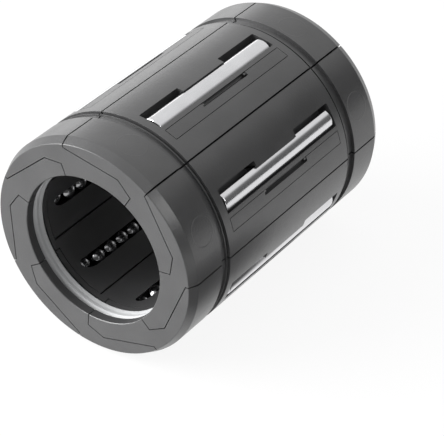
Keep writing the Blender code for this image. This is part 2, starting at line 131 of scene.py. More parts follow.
def prism(outline, yLow, yHigh, rounding=0.0):
    bm = drawnOut(outline, yLow, yHigh)
    if rounding:
        # the upright corners at both ends
        upright = [e for e in edgesAtEnds(bm) if abs(e.verts[0].co.z - e.verts[1].co.z)
                   > abs(e.verts[0].co.x - e.verts[1].co.x)]
        roundOff(bm, upright, rounding, shaping["roundSteps"])
    return newPiece("cutter", bm)


def boolean(target, other, operation):
    modifier = target.modifiers.new("cut", "BOOLEAN")
    modifier.operation = operation
    modifier.solver = "EXACT"
    modifier.object = other
    graph = bpy.context.evaluated_depsgraph_get()
    result = bpy.data.meshes.new_from_object(target.evaluated_get(graph))
    target.modifiers.clear()
    target.data = result
    bpy.data.objects.remove(other, do_unlink=True)


def roundedProfile(points, steps):
    # a section drawn as (y, radius, rounding), whose corners are rounded before it is turned
    bm = bmesh.new()
    verts = [bm.verts.new((0.0, y, r)) for y, r, rounding in points]
    bm.faces.new(verts)
    for rounding in sorted({point[2] for point in points}):
        corners = [vert for vert, point in zip(verts, points) if point[2] == rounding]
        roundOff(bm, corners, rounding, steps, "VERTICES")
    return bm


def inOrder(mesh):
    # the cuts leave points and faces in a chance order, so both are put in order of place, the same each run
    order = sorted(range(len(mesh.vertices)), key=lambda index: tuple(mesh.vertices[index].co))
    rank = {old: new for new, old in enumerate(order)}
    rings = []
    for polygon in mesh.polygons:
        ring = [rank[index] for index in polygon.vertices]
        first = ring.index(min(ring))
        rings.append(ring[first:] + ring[:first])
    bm = bmesh.new()
    verts = [bm.verts.new(mesh.vertices[index].co) for index in order]
    for ring in sorted(rings):
        bm.faces.new([verts[index] for index in ring])
    return bm


def easeEdges(piece, sizes):
    # break the sharp edges as a mould does, after the stray points and flat seams of the cuts are merged
    bm = inOrder(piece.data)
    bmesh.ops.remove_doubles(bm, verts=bm.verts, dist=shaping["strayPoint"])
    bmesh.ops.dissolve_degenerate(bm, edges=bm.edges, dist=shaping["strayEdge"])
    bmesh.ops.dissolve_limit(bm, angle_limit=shaping["sameFlat"], verts=bm.verts, edges=bm.edges)
    worn = bm.faces.layers.float.new("edgeWear")
    for face in bm.faces:
        face.smooth = True
    for edge in bm.edges:
        edge.smooth = edge.calc_face_angle(pi) < shaping["crease"]
    edges = [e for e in bm.edges if e.is_manifold and e.calc_face_angle(0.0) > sizes["easedFrom"]]
    strips = set(roundOff(bm, edges, sizes["easing"], sizes["easingSteps"], clamp=True)["faces"])
    for face in strips:
        face[worn] = 1.0
    # the eased strips are shaded apart, so that the large faces stay flat
    for edge in bm.edges:
        if len({face in strips for face in edge.link_faces}) > 1:
            edge.smooth = False
    bm.to_mesh(piece.data)
    bm.free()


# Cage segment

segment = {
    "rimDrop": 1.7 * mm,
    "rimLength": 3.7 * mm,
    "grooveDepth": 1.5 * mm,
    "grooveWidth": 5.0 * mm,
    "grooveFromEnd": 18.2 * mm,
    "rimRounding": 0.35 * mm,
    "faceHoleRadius": 30.4 * mm,
    "faceHoleBevel": 0.25 * mm,
    "boreRadius": 30.8 * mm,
    "ribFromWall": 1.1 * mm,              # a fine bead runs round the groove's floor
    "ribWidth": 0.35 * mm,
    "ribHeight": 0.95 * mm,
    "cornerRounding": 0.12 * mm,
    "ribRounding": 0.07 * mm,
    "roundSteps": 2,
    "bladeGap": 0.36 * mm,
    "mouthGap": 1.2 * mm,                 # the outer notch of a blade seam flares towards this width
    "straightGap": 0.68 * mm,
    "seamStep": 1.2 * mm,                 # the straight seam steps sideways, so no light comes through
    "interlockDepth": 12.4 * mm,
    "seamNotch": 3.0 * mm,
    "hookSweep": pitchAngle - radians(16.23),
    "hookRadius": barrel - 6.45 * mm,
    "toeSweep": pitchAngle - radians(4.93),
    "toeRadius": 35.4 * mm,
    "sealPocket": (3.75 * mm, 10.05 * mm, 34.25 * mm),   # from the end, to, radius
    "spareSweep": radians(2.0),           # turned past the blades at both sides, then cut back
    "easing": 0.1 * mm,
    "easingSteps": 2,
    "easedFrom": radians(28.0),
}


def offsetPath(points, distance):
    # a path moved sideways, with mitred corners
    normals = []
    for first, second in zip(points, points[1:]):
        along = (second - first).normalized()
        normals.append(Vector((-along.y, along.x)))
    moved = []
    for index, point in enumerate(points):
        before = normals[max(index - 1, 0)]
        after = normals[min(index, len(normals) - 1)]
        mitre = (before + after).normalized()
        moved.append(point + mitre * (distance / mitre.dot(after)))
    return moved


def pinwheelSeam(angle, side):
    path = [
        polar(angle, outside),
        polar(angle, barrel - segment["seamNotch"]),
        polar(angle + segment["hookSweep"], segment["hookRadius"]),
        polar(angle + segment["toeSweep"], segment["toeRadius"]),
        polar(angle + segment["toeSweep"], inside),
    ]
    mouth = offsetPath(path, side * segment["mouthGap"] / 2.0)
    return [mouth[0], *offsetPath(path, side * segment["bladeGap"] / 2.0)[1:]]


def straightSeam(angle, side):
    notch = barrel - segment["seamNotch"]
    sideways = polar(angle + pi / 2.0, segment["seamStep"])
    return offsetPath([
        polar(angle, outside),
        polar(angle, notch),
        polar(angle, notch - segment["seamStep"]) + sideways,
        polar(angle, inside) + sideways,
    ], side * segment["straightGap"] / 2.0)


def sectorOutline(left, right):
    steps = 6
    outer = [polar(seamAngle - 2.0 * seamAngle * i / steps, outside) for i in range(1, steps)]
    first = atan2(right[-1].x, right[-1].y)
    last = atan2(left[-1].x, left[-1].y)
    inner = [polar(first + (last - first) * i / steps, inside) for i in range(1, steps)]
    return [left[0], *outer, *right, *inner, *reversed(left[1:])]


def turnedSegment():
    # the whole wall's section, spun through the sweep of one segment and its blades
    grooveOuter = halfLength - segment["grooveFromEnd"]
    grooveInner = grooveOuter - segment["grooveWidth"]
    grooveFloor = barrel - segment["grooveDepth"]
    ribInner = grooveInner + segment["ribFromWall"]
    ribOuter = ribInner + segment["ribWidth"]
    ribTop = grooveFloor + segment["ribHeight"]
    hole, bevel = segment["faceHoleRadius"], segment["faceHoleBevel"]
    pocketOuter, pocketInner, pocketRadius = segment["sealPocket"]
    corner, fine = segment["cornerRounding"], segment["ribRounding"]
    half = [
        (grooveInner, barrel, corner), (grooveInner, grooveFloor, corner),
        (ribInner, grooveFloor, fine), (ribInner, ribTop, fine),
        (ribOuter, ribTop, fine), (ribOuter, grooveFloor, fine),
        (grooveOuter, grooveFloor, corner), (grooveOuter, barrel, corner),
        (halfLength - segment["rimLength"], barrel, corner),
        (halfLength, barrel - segment["rimDrop"], segment["rimRounding"]),
        (halfLength, hole + bevel, corner), (halfLength - bevel, hole, corner),
        (halfLength - pocketOuter, hole, corner), (halfLength - pocketOuter, pocketRadius, corner),
        (halfLength - pocketInner, pocketRadius, corner),
        (halfLength - pocketInner, segment["boreRadius"], corner),
    ]
    profile = half + [(-y, r, rounding) for y, r, rounding in reversed(half)]
    bm = roundedProfile(profile, segment["roundSteps"])
    sweep = segment["toeSweep"] + pitchAngle + 2.0 * segment["spareSweep"]
    start = seamAngle - segment["spareSweep"]
    bmesh.ops.rotate(bm, verts=bm.verts, cent=(0, 0, 0), matrix=Matrix.Rotation(start, 3, "Y"))
    bmesh.ops.spin(bm, geom=list(bm.faces), cent=(0, 0, 0), axis=(0, 1, 0), angle=sweep,
                   steps=ceil(degrees(sweep) / bearing["facetDegrees"]))
    return newPiece("segmentMaster", bm)


def segmentBlank():
    interlockY = halfLength - segment["interlockDepth"]
    straight = sectorOutline(straightSeam(seamAngle, 1), straightSeam(-seamAngle, -1))
    root = sectorOutline(pinwheelSeam(seamAngle, 1), straightSeam(-seamAngle, -1))
    blade = sectorOutline(pinwheelSeam(seamAngle, 1), pinwheelSeam(-seamAngle, -1))
    blank = prism(straight, -interlockY, interlockY)
    for side in (-1, 1):
        rootEnds = sorted((side * (interlockY - overrun), side * (interlockY + overrun)))
        boolean(blank, prism(root, *rootEnds), "UNION")
        bladeEnds = sorted((side * (interlockY + segment["bladeGap"]), side * (halfLength + overrun)))
        boolean(blank, prism(blade, *bladeEnds), "UNION")
    return blank


# Ball circuit

ball = {
    "radius": 3.572 * mm,
    "spacing": 0.06 * mm,
    "inRow": 11,
    "inTurn": 2,
    "shift": 8.45 * mm,                   # from the loaded row across to the return row
    "rise": 4.03 * mm,
    "turnY": 40.92 * mm,
    "channelRadius": 3.812 * mm,
    "slotHalf": 2.6 * mm,
    "slotLip": 1.4 * mm,
    "slotOverrun": 0.3 * mm,
    "trackHeight": 37.444 * mm,
    "channelSides": 20,
    "turnSteps": 16,
    "segments": 32,
    "rings": 20,
}
loadedRadius = bearing["shaftRadius"] + ball["radius"]
returnHeight = loadedRadius + ball["rise"]
turnRadius = hypot(ball["shift"], ball["rise"]) / 2.0
ballPitch = 2.0 * ball["radius"] + ball["spacing"]


def turnAxes():
    across = Vector((ball["shift"], 0.0, ball["rise"])).normalized()
    return across, Vector((0.0, 1.0, 0.0)).cross(across)


def turnCentre(side):
    return Vector((ball["shift"] / 2.0, side * ball["turnY"], loadedRadius + ball["rise"] / 2.0))


def returnChannel():
    # one round section carried round the front turn, along the return row and round the rear turn
    across, axis = turnAxes()
    front, rear = turnCentre(-1), turnCentre(1)
    start = front - across * turnRadius
    bm = bmesh.new()
    bmesh.ops.create_circle(bm, cap_ends=True, segments=ball["channelSides"], radius=ball["channelRadius"])
    place = Matrix((across, axis, across.cross(axis))).transposed().to_4x4()
    bmesh.ops.transform(bm, verts=bm.verts, matrix=Matrix.Translation(start) @ place)
    section = list(bm.faces)
    turned = bmesh.ops.spin(bm, geom=section, cent=front, axis=axis, angle=-pi, steps=ball["turnSteps"])
    section = [part for part in turned["geom_last"] if isinstance(part, bmesh.types.BMFace)]
    grown = bmesh.ops.extrude_face_region(bm, geom=section)["geom"]
    bmesh.ops.delete(bm, geom=section, context="FACES_ONLY")
    section = [part for part in grown if isinstance(part, bmesh.types.BMFace)]
    bmesh.ops.translate(bm, verts=section[0].verts, vec=rear - front)
    bmesh.ops.spin(bm, geom=section, cent=rear, axis=axis, angle=-pi, steps=ball["turnSteps"])
    bmesh.ops.delete(bm, geom=section, context="FACES_ONLY")
    return newPiece("channel", bm)


def loadedSlot():
    bore = segment["boreRadius"]
    lipTop = bore + ball["slotLip"]
    outline = [
        (ball["slotHalf"], inside), (ball["slotHalf"], bore), (ball["channelRadius"], lipTop),
        (ball["channelRadius"], ball["trackHeight"]), (-ball["channelRadius"], ball["trackHeight"]),
        (-ball["channelRadius"], lipTop), (-ball["slotHalf"], bore), (-ball["slotHalf"], inside),
    ]
    end = ball["turnY"] + ball["slotOverrun"]
    return prism(outline, -end, end)


def ballRow(count):
    bm = bmesh.new()
    for index in range(count):
        middle = (index - (count - 1) / 2.0) * ballPitch
        bmesh.ops.create_uvsphere(bm, u_segments=ball["segments"], v_segments=ball["rings"],
                                  radius=ball["radius"], matrix=Matrix.Translation((0.0, middle, 0.0)))
    return bm


def turnBalls(side):
    # the balls of a turn sit on a chord of the half circle
    bm = ballRow(ball["inTurn"])
    across = turnAxes()[0]
    halfChord = (ball["inTurn"] - 1) * ballPitch / 2.0
    reach = sqrt(turnRadius ** 2 - halfChord ** 2)
    outward = Vector((0.0, side, 0.0))
    place = Matrix((outward.cross(across), across, outward)).transposed().to_4x4()
    place = Matrix.Translation(turnCentre(side) + outward * reach) @ place
    bmesh.ops.transform(bm, verts=bm.verts, matrix=place)
    return bm


# Raceway plate

plate = {
    "halfLength": 34.85 * mm,
    "halfWidth": 3.6 * mm,
    "proud": 0.15 * mm,
    "crown": 5.4 * mm,
    "gap": 0.3 * mm,
    "tabGap": 0.03 * mm,
    "endGap": 0.8 * mm,
    "trackAngle": radians(40.0),
    "crownSteps": 24,
    "trackSteps": 12,
    "endRounding": 0.7 * mm,
    "tabHalfLength": 12.7 * mm,
    "tabOverhang": 0.6 * mm,
    "sidePocketWidth": 2.0 * mm,
    "sidePocketDepth": 5.8 * mm,
    "pocketOverlap": 0.4 * mm,            # the side pocket's cut runs this far into the window's
    "pocketStep": 0.03 * mm,
    "pocketRounding": 0.5 * mm,
    "easing": 0.35 * mm,
    "easingSteps": 3,
    "easedFrom": radians(40.0),
}
plateTop = barrel + plate["proud"]
pocketHalf = plate["halfWidth"] + plate["gap"]
shoulder = plateTop - plate["crown"] + sqrt(plate["crown"] ** 2 - plate["halfWidth"] ** 2)


def platePockets():
    low = loadedRadius
    tabHalf = plate["tabHalfLength"]
    windowHalf = plate["halfLength"] + plate["endGap"]
    lipLow = shoulder + plate["tabGap"]
    side = pocketHalf + plate["sidePocketWidth"]
    tabEdge = plate["halfWidth"] - plate["tabOverhang"]
    middle = [
        (pocketHalf, low), (pocketHalf, outside), (-tabEdge, outside),
        (-tabEdge, lipLow + plate["tabOverhang"]), (-pocketHalf, lipLow), (-pocketHalf, low),
    ]
    floorHeight = barrel - plate["sidePocketDepth"]
    main = [(pocketHalf, low), (pocketHalf, outside), (-tabEdge, outside), (-tabEdge, floorHeight),
            (-pocketHalf, floorHeight), (-pocketHalf, low)]
    pocketEdge, pocketFloor = -tabEdge + plate["pocketOverlap"], floorHeight + plate["pocketStep"]
    pocket = [(pocketEdge, pocketFloor), (pocketEdge, outside), (-side, outside), (-side, pocketFloor)]
    cutters = [prism(middle, -tabHalf - overrun, tabHalf + overrun)]
    for end in (-1, 1):
        ends = sorted((end * tabHalf, end * windowHalf))
        cutters.append(prism(main, *ends, rounding=plate["pocketRounding"]))
        cutters.append(prism(pocket, *ends, rounding=plate["pocketRounding"]))
    return cutters


def plateBar():
    halfAngle = asin(plate["halfWidth"] / plate["crown"])
    centre = Vector((0.0, plateTop - plate["crown"]))
    steps, trackSteps = plate["crownSteps"], plate["trackSteps"]
    outline = [centre + polar(-halfAngle + 2.0 * halfAngle * i / steps, plate["crown"])
               for i in range(steps + 1)]
    trackRadius = ball["radius"] + plate["gap"]
    trackCentre = Vector((0.0, loadedRadius))
    land = loadedRadius + trackRadius * cos(plate["trackAngle"])
    track = [trackCentre + polar(plate["trackAngle"] * (1.0 - 2.0 * i / trackSteps), trackRadius)
             for i in range(trackSteps + 1)]
    outline += [(plate["halfWidth"], land), *track, (-plate["halfWidth"], land)]
    bm = drawnOut(outline, -plate["halfLength"], plate["halfLength"])
    # both ends are rounded over the crown only
    crownEnds = [e for e in edgesAtEnds(bm) if min(v.co.z for v in e.verts) > shoulder - shaping["touch"]]
    roundOff(bm, crownEnds, plate["endRounding"], shaping["roundSteps"])
    return bm


# Return channel lid

lid = {
    "rail": 1.743 * mm,
    "halfLength": 35.4 * mm,
    "width": 5.1 * mm,
    "thickness": 1.5 * mm,
    "notchHalfLength": 13.9 * mm,
    "notchWidth": 1.8 * mm,
    "notchStep": 0.2 * mm,                # the notch runs this far down into the rib
    "ribWidth": 3.4 * mm,
    "ribDrop": 0.8 * mm,
    "gap": 0.25 * mm,
    "snapLength": 1.3 * mm,
    "snapWidth": 0.9 * mm,
    "snapDrop": 0.35 * mm,
    "snapLift": 0.2 * mm,
    "snapInset": 0.05 * mm,
    "snapOverlap": 0.1 * mm,              # the snap tab runs this far into the notch's end
    "seatRounding": 0.4 * mm,
    "notchRounding": 0.3 * mm,
    "topSteps": 6,
    "easing": 0.15 * mm,
    "easingSteps": 2,
    "easedFrom": radians(28.0),
}
lidAngle = asin((pocketHalf + lid["rail"] + lid["gap"] + lid["width"] / 2.0) / barrel)
lidFloor = barrel - lid["thickness"]


def lidPoint(across, height):
    return polar(lidAngle + pi / 2.0, across) + polar(lidAngle, height)


def lidBox(left, right, low, high, yLow, yHigh, rounding=0.0):
    corners = ((left, low), (left, high), (right, high), (right, low))
    return prism([lidPoint(*corner) for corner in corners], yLow, yHigh, rounding)


def lidRecess():
    seatHalf = lid["width"] / 2.0 + lid["gap"]
    slotHalf = lid["ribWidth"] / 2.0 + lid["gap"]
    seatEnd = lid["halfLength"] + lid["gap"]
    slotEnd = seatEnd - lid["thickness"]
    slotLow = hypot(ball["shift"], returnHeight)
    return [lidBox(-seatHalf, seatHalf, lidFloor - lid["gap"], outside, -seatEnd, seatEnd,
                   lid["seatRounding"]),
            lidBox(-slotHalf, slotHalf, slotLow, barrel, -slotEnd, slotEnd)]


def lidStrip():
    half = lid["width"] / 2.0
    spread = asin(half / barrel)
    steps = lid["topSteps"]
    top = [polar(lidAngle - spread + 2.0 * spread * i / steps, barrel) for i in range(steps + 1)]
    strip = prism([lidPoint(-half, lidFloor), *top, lidPoint(half, lidFloor)],
                  -lid["halfLength"], lid["halfLength"])
    ribHalf, ribEnd = lid["ribWidth"] / 2.0, lid["halfLength"] - lid["thickness"]
    boolean(strip, lidBox(-ribHalf, ribHalf, lidFloor - lid["ribDrop"], lidFloor + lid["gap"],
                          -ribEnd, ribEnd), "UNION")
    notchHalf = lid["notchHalfLength"]
    left = -half - overrun
    right = -half + lid["notchWidth"]
    low = lidFloor - lid["notchStep"]
    boolean(strip, lidBox(left, right, low, outside, -notchHalf, notchHalf, lid["notchRounding"]),
            "DIFFERENCE")
    snapLeft, snapRight = -half + lid["snapInset"], -half + lid["snapWidth"]
    snapLow, snapHigh = lidFloor + lid["snapLift"], barrel - lid["snapDrop"]
    for end in (-1, 1):
        ends = sorted((end * (notchHalf + lid["snapOverlap"]), end * (notchHalf - lid["snapLength"])))
        boolean(strip, lidBox(snapLeft, snapRight, snapLow, snapHigh, *ends), "UNION")
    return strip


# Shaft seal

seal = {
    "fromEnd": 4.0 * mm,
    "width": 5.8 * mm,
    "outerRadius": 34.0 * mm,
    "lipRadius": 30.05 * mm,
    "lipHeight": 1.3 * mm,
    "lipBack": 1.2 * mm,
    "lipStep": 2.6 * mm,
    "rounding": 0.18 * mm,
    "roundSteps": 3,
    "steps": 160,
}


def sealRing(side):
    front = -halfLength + seal["fromEnd"]
    back = front + seal["width"]
    lip, height = seal["lipRadius"], seal["lipHeight"]
    lipY = back - seal["lipBack"]
    profile = [
        (front, seal["outerRadius"]), (back, seal["outerRadius"]), (back, lip + height), (lipY, lip),
        (lipY - seal["lipStep"] / 2.0, lip + height / 2.0), (lipY - seal["lipStep"], lip + height / 2.0),
        (front, lip + 2.0 * height),
    ]
    bm = roundedProfile([(side * y, r, seal["rounding"]) for y, r in profile], seal["roundSteps"])
    bmesh.ops.delete(bm, geom=list(bm.faces), context="FACES_ONLY")
    bmesh.ops.spin(bm, geom=list(bm.verts) + list(bm.edges), cent=(0, 0, 0), axis=(0, 1, 0),
                   angle=2.0 * pi, steps=seal["steps"], use_merge=True)
    return bm


# Materials

def newMaterial(name):
    material = bpy.data.materials.new(name)
    material.use_nodes = True
    nodes = material.node_tree.nodes
    return material, nodes, material.node_tree.links, nodes["Principled BSDF"]


def noiseOf(nodes, links, coords, scale, detail=4.0):
    noise = nodes.new("ShaderNodeTexNoise")
    noise.inputs["Scale"].default_value = scale
    noise.inputs["Detail"].default_value = detail
    noise.inputs["Roughness"].default_value = 0.55
    links.new(coords, noise.inputs["Vector"])
    return noise.outputs["Fac"]


def rampOf(nodes, links, source, stops):
    ramp = nodes.new("ShaderNodeValToRGB")
    elements = ramp.color_ramp.elements
    elements[0].position, elements[0].color = stops[0][0], (*stops[0][1], 1.0)
    elements[1].position, elements[1].color = stops[-1][0], (*stops[-1][1], 1.0)
    for position, colour in stops[1:-1]:
        elements.new(position).color = (*colour, 1.0)
    links.new(source, ramp.inputs["Fac"])
    return ramp.outputs["Color"]


def bumpOf(nodes, links, height, strength, distance, before=None):
    bump = nodes.new("ShaderNodeBump")
    bump.inputs["Strength"].default_value = strength
    bump.inputs["Distance"].default_value = distance
    links.new(height, bump.inputs["Height"])
    if before is not None:
        links.new(before, bump.inputs["Normal"])
    return bump.outputs["Normal"]


def roughnessOf(nodes, links, shader, source, finish):
    rough = nodes.new("ShaderNodeMapRange")
    rough.inputs["To Min"].default_value = finish["roughLow"]
    rough.inputs["To Max"].default_value = finish["roughHigh"]
    links.new(source, rough.inputs["Value"])
    links.new(rough.outputs["Result"], shader.inputs["Roughness"])


def greys(*levels):
    # a touch cooler than neutral
    return [(place, (level, level, level * 1.02)) for place, level in levels]


def cloudy(finish, tone=1.0):
    # most of the noise lies between these two places
    return greys((0.3, finish["dark"] * tone), (0.7, finish["light"] * tone))


plastic = {
    "dark": 0.041,
    "light": 0.054,
    "cloudScale": 60.0,
    "wear": 0.12,
    "wearScale": 220.0,
    "wearStops": ((0.35, 0.1), (0.65, 0.8)),
    "specular": 0.82,
    "roughLow": 0.27,
    "roughHigh": 0.35,
    "roughScale": 350.0,
    "grainScale": 1600.0,
    "grainDetail": 2.0,
    "grainBump": 0.3,
    "grainHeight": 0.2 * mm,
}

# Round marks that the ejector pins leave on both caps of each segment
mark = {
    "radius": 5.6 * mm,
    "fromEnd": 11.7 * mm,
    "angle": radians(3.5),                # from the middle of the segment
    "halfWidth": 0.3 * mm,
    "skin": 0.5 * mm,                     # only this much of the barrel's outside is marked
    "bump": 0.25,
    "height": 0.2 * mm,
}


def calculate(nodes, links, operation, *values):
    step = nodes.new("ShaderNodeMath")
    step.operation = operation
    for socket, value in zip(step.inputs, values):
        if isinstance(value, float):
            socket.default_value = value
        else:
            links.new(value, socket)
    return step.outputs[0]


def markHeight(nodes, links, coords):
    # 1 on the ring of the nearest mark, measured over the barrel, and 0 away from it
    split = nodes.new("ShaderNodeSeparateXYZ")
    links.new(coords, split.inputs["Vector"])
    x, y, z = split.outputs
    turn = calculate(nodes, links, "ARCTAN2", x, z)
    turn = calculate(nodes, links, "SUBTRACT", turn, bearing["firstAngle"] + mark["angle"])
    turn = calculate(nodes, links, "WRAP", turn, pitchAngle / 2.0, -pitchAngle / 2.0)
    across = calculate(nodes, links, "MULTIPLY", turn, barrel)
    along = calculate(nodes, links, "ABSOLUTE", y)
    along = calculate(nodes, links, "SUBTRACT", along, halfLength - mark["fromEnd"])
    squares = calculate(nodes, links, "ADD", calculate(nodes, links, "POWER", across, 2.0),
                        calculate(nodes, links, "POWER", along, 2.0))
    away = calculate(nodes, links, "SUBTRACT", calculate(nodes, links, "SQRT", squares), mark["radius"])
    away = calculate(nodes, links, "ABSOLUTE", away)
    ring = nodes.new("ShaderNodeMapRange")
    ring.interpolation_type = "SMOOTHSTEP"
    ring.inputs["From Max"].default_value = mark["halfWidth"]
    ring.inputs["To Min"].default_value = 1.0
    ring.inputs["To Max"].default_value = 0.0
    links.new(away, ring.inputs["Value"])
    radius = calculate(nodes, links, "ADD", calculate(nodes, links, "POWER", x, 2.0),
                       calculate(nodes, links, "POWER", z, 2.0))
    outer = calculate(nodes, links, "GREATER_THAN", radius, (barrel - mark["skin"]) ** 2)
    return calculate(nodes, links, "MULTIPLY", ring.outputs["Result"], outer)


def plasticMaterial(name, tone, marked):
    material, nodes, links, shader = newMaterial(name)
    coords = nodes.new("ShaderNodeTexCoord").outputs["Object"]
    cloud = noiseOf(nodes, links, coords, plastic["cloudScale"])
    grain = noiseOf(nodes, links, coords, plastic["grainScale"], plastic["grainDetail"])
    colour = rampOf(nodes, links, cloud, cloudy(plastic, tone))
    # the eased edges are rubbed a little lighter in places
    edges = nodes.new("ShaderNodeAttribute")
    edges.attribute_name = "edgeWear"
    patches = noiseOf(nodes, links, coords, plastic["wearScale"])
    rubbed = rampOf(nodes, links, patches, greys(*plastic["wearStops"]))
    mix = nodes.new("ShaderNodeMix")
    mix.data_type = "RGBA"
    links.new(calculate(nodes, links, "MULTIPLY", edges.outputs["Fac"], rubbed), mix.inputs["Factor"])
    links.new(colour, mix.inputs["A"])
    mix.inputs["B"].default_value = (plastic["wear"], plastic["wear"], plastic["wear"], 1.0)
    links.new(mix.outputs["Result"], shader.inputs["Base Color"])
    shader.inputs["Specular IOR Level"].default_value = plastic["specular"]
    roughnessOf(nodes, links, shader, noiseOf(nodes, links, coords, plastic["roughScale"]), plastic)
    relief = bumpOf(nodes, links, grain, plastic["grainBump"], plastic["grainHeight"])
    if marked:
        rings = markHeight(nodes, links, coords)
        relief = bumpOf(nodes, links, rings, mark["bump"], mark["height"], relief)
    links.new(relief, shader.inputs["Normal"])
    return material


steel = {
    "dark": 0.68,
    "light": 0.74,
    "cloudScale": 90.0,
    "roughLow": 0.12,
    "roughHigh": 0.24,
    "lineScale": 1800.0,
    "lineDetail": 3.0,
    "lineStretch": (1.0, 0.03, 1.0),      # ground along its length, so the marks are long in Y
    "lineBump": 0.06,
    "lineHeight": 0.05 * mm,
}


def steelMaterial(name):
    material, nodes, links, shader = newMaterial(name)
    coords = nodes.new("ShaderNodeTexCoord").outputs["Object"]
    stretch = nodes.new("ShaderNodeMapping")
    stretch.inputs["Scale"].default_value = steel["lineStretch"]
    links.new(coords, stretch.inputs["Vector"])
    lines = noiseOf(nodes, links, stretch.outputs["Vector"], steel["lineScale"], steel["lineDetail"])
    cloud = noiseOf(nodes, links, coords, steel["cloudScale"])
    links.new(rampOf(nodes, links, cloud, cloudy(steel)), shader.inputs["Base Color"])
    shader.inputs["Metallic"].default_value = 1.0
    roughnessOf(nodes, links, shader, lines, steel)
    relief = bumpOf(nodes, links, lines, steel["lineBump"], steel["lineHeight"])
    links.new(relief, shader.inputs["Normal"])
    return material


# the balls' steel is coloured darker than polished steel: painted shade, so they look as dark as the shaded
# bore they sit in
polishedPaintedShade = {
    "dark": 0.30,
    "light": 0.35,
    "cloudScale": 400.0,
    "roughLow": 0.05,
    "roughHigh": 0.10,
}


def ballMaterial(name):
    material, nodes, links, shader = newMaterial(name)
    coords = nodes.new("ShaderNodeTexCoord").outputs["Object"]
    cloud = noiseOf(nodes, links, coords, polishedPaintedShade["cloudScale"])
    # painted shade: a darkened steel colour
    links.new(rampOf(nodes, links, cloud, cloudy(polishedPaintedShade)), shader.inputs["Base Color"])
    shader.inputs["Metallic"].default_value = 1.0
    roughnessOf(nodes, links, shader, cloud, polishedPaintedShade)
    return material


rubber = {
    "stops": [(0.3, (0.36, 0.365, 0.37)), (0.7, (0.41, 0.415, 0.42))],
    "cloudScale": 120.0,
    "roughLow": 0.42,
    "roughHigh": 0.55,
    "roughScale": 500.0,
    "grainScale": 1800.0,
    "grainDetail": 2.0,
    "grainBump": 0.08,
    "grainHeight": 0.1 * mm,
}


def rubberMaterial(name):
    material, nodes, links, shader = newMaterial(name)
    coords = nodes.new("ShaderNodeTexCoord").outputs["Object"]
    cloud = noiseOf(nodes, links, coords, rubber["cloudScale"])
    links.new(rampOf(nodes, links, cloud, rubber["stops"]), shader.inputs["Base Color"])
    roughnessOf(nodes, links, shader, noiseOf(nodes, links, coords, rubber["roughScale"]), rubber)
    grain = noiseOf(nodes, links, coords, rubber["grainScale"], rubber["grainDetail"])
    relief = bumpOf(nodes, links, grain, rubber["grainBump"], rubber["grainHeight"])
    links.new(relief, shader.inputs["Normal"])
    return material


finishes = {
    "cage": plasticMaterial("cagePlastic", tone=1.0, marked=True),
    "lid": plasticMaterial("lidPlastic", tone=0.95, marked=False),
    "steel": steelMaterial("plateSteel"),
    "ball": ballMaterial("ballSteelPaintedShade"),
    "rubber": rubberMaterial("sealRubber"),
}


# Putting the pieces round the ring

def settle(piece, material, body, node):
    piece.data.materials.clear()
    piece.data.materials.append(material)
    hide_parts(node)
    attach(piece, body)


def copyAt(master, name, angle):
    mesh = master.data.copy()
    mesh.name = name
    mesh.transform(Matrix.Rotation(angle, 4, "Y"))
    piece = bpy.data.objects.new(name, mesh)
    bpy.context.scene.collection.objects.link(piece)
    # large faces stay flat beside their rounded borders
    normals = piece.modifiers.new("normals", "WEIGHTED_NORMAL")
    normals.keep_sharp = True
    return piece


segmentMaster = turnedSegment()
boolean(segmentMaster, segmentBlank(), "INTERSECT")
for cutter in [*platePockets(), loadedSlot(), returnChannel(), *lidRecess()]:
    boolean(segmentMaster, cutter, "DIFFERENCE")
easeEdges(segmentMaster, segment)
print("cage segment:", len(segmentMaster.data.polygons), "faces")

plateMaster = newPiece("plateMaster", plateBar())
easeEdges(plateMaster, plate)
print("raceway plate:", len(plateMaster.data.polygons), "faces")

lidMaster = lidStrip()
easeEdges(lidMaster, lid)
print("return lid:", len(lidMaster.data.polygons), "faces")

loadedRow = ballRow(ball["inRow"])
bmesh.ops.translate(loadedRow, verts=loadedRow.verts, vec=(0.0, 0.0, loadedRadius))
returnRow = ballRow(ball["inRow"])
bmesh.ops.translate(returnRow, verts=returnRow.verts, vec=(ball["shift"], 0.0, returnHeight))
# master, piece, finish, slot, body and node
circuitMasters = [
    (segmentMaster, "segment{}", "cage", "cage_plastic", "cage", "cage_segment_{}"),
    (plateMaster, "plate{}", "steel", "plate_steel", "cage", "raceway_plate_{}"),
    (lidMaster, "lid{}", "lid", "lid_plastic", "cage", "return_lid_{}"),
    (newPiece("loadedMaster", loadedRow), "loadedRow{}", "ball", "ball_steel", "loaded_row_{}",
     "loaded_balls_{}"),
    (newPiece("returnMaster", returnRow), "returnRow{}", "ball", "ball_steel", "return_row_{}",
     "return_balls_{}"),
    (newPiece("frontTurnMaster", turnBalls(-1)), "frontTurn{}", "ball", "ball_steel", "front_turn_{}",
     "front_turn_balls_{}"),
    (newPiece("rearTurnMaster", turnBalls(1)), "rearTurn{}", "ball", "ball_steel", "rear_turn_{}",
     "rear_turn_balls_{}"),
]
for number in range(1, bearing["circuits"] + 1):
    angle = bearing["firstAngle"] + (number - 1) * pitchAngle
    for master, name, finish, slot, body, node in circuitMasters:
        piece = copyAt(master, name.format(number), angle)
        settle(piece, finishes[finish], body.format(number), node.format(number))
for master in [entry[0] for entry in circuitMasters]:
    bpy.data.objects.remove(master, do_unlink=True)
print("circuits:", bearing["circuits"])

for end, side in (("front", 1), ("rear", -1)):
    ring = newPiece(f"{end}SealRing", sealRing(side))
    settle(ring, finishes["rubber"], "cage", f"{end}_seal")
print("seals: 2")


# Floor, light and camera

